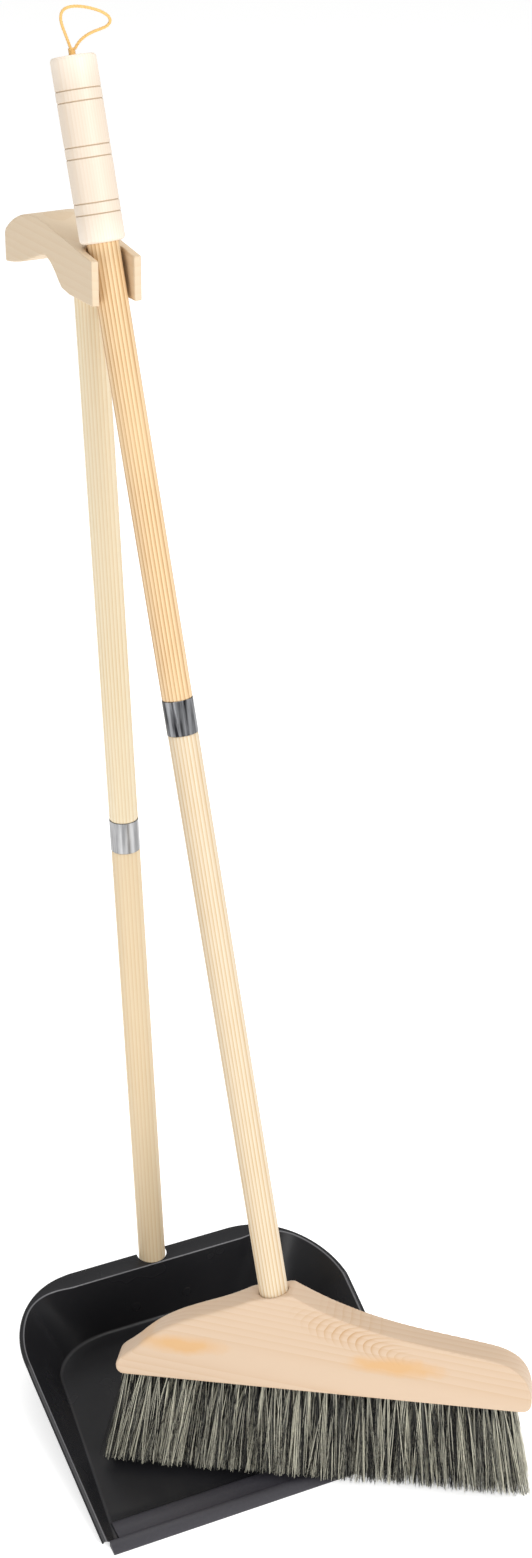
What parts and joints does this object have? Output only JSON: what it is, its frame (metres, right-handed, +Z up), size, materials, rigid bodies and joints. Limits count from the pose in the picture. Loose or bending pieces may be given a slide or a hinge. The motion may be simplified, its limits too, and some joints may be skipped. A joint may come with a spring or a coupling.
{
  "type": "long-handled dustpan and broom set",
  "caption": "Upright dustpan of black pressed steel with a wooden pole and hook handle, and a wooden angled broom that hangs by its grip in the handle's fork.",
  "frame": {"origin": "centre of the underside of the pan's floor, on the surface that the set stands on", "axes": "+Z up, -Y out of the pan's mouth, +X to the right seen from the mouth"},
  "size_m": [0.3676, 0.6184, 1.1459],
  "materials": {
    "black_steel": "satin black powder coat",
    "lip_rubber": "matt dark grey moulded rubber",
    "bright_steel": "bright brushed",
    "dark_steel": "dark brushed",
    "pine": "clear satin over straight pine grain",
    "turned_wood": "smooth turned, clear satin",
    "hook_wood": "sanded and carved, clear satin",
    "head_wood": "sanded pine, clear satin",
    "bristle_hair": "mixed light and dark hair",
    "gold_cord": "twisted waxed cord"
  },
  "bodies": {
    "dustpan": {"pan_shell": "black_steel", "lip_strip": "lip_rubber", "handle_socket": "black_steel", "rivet_left": "black_steel", "rivet_right": "black_steel", "pole_screw": "bright_steel", "pan_pole_lower": "pine", "pan_pole_upper": "pine", "pan_ferrule": "bright_steel", "pan_joint_stud": "bright_steel", "pan_joint_insert": "bright_steel", "hook_handle": "hook_wood", "hook_screw": "bright_steel", "hook_plug": "hook_wood"},
    "broom": {"broom_grip": "turned_wood", "grip_pin": "turned_wood", "broom_pole_lower": "pine", "broom_pole_upper": "pine", "broom_ferrule": "dark_steel", "broom_joint_stud": "bright_steel", "broom_joint_insert": "bright_steel", "broom_head": "head_wood", "head_screw": "bright_steel", "bristle_row_1": "bristle_hair", "bristle_row_2": "bristle_hair", "bristle_row_3": "bristle_hair", "bristle_row_4": "bristle_hair", "bristle_row_5": "bristle_hair", "loop_tie": "gold_cord", "hanging_loop": "gold_cord"}
  },
  "joints": [
    {"name": "broom_lift", "type": "slide", "parent": "dustpan", "child": "broom", "axis": [0, -0.866, 0.5], "range_m": [0, 0.35]}
  ]
}
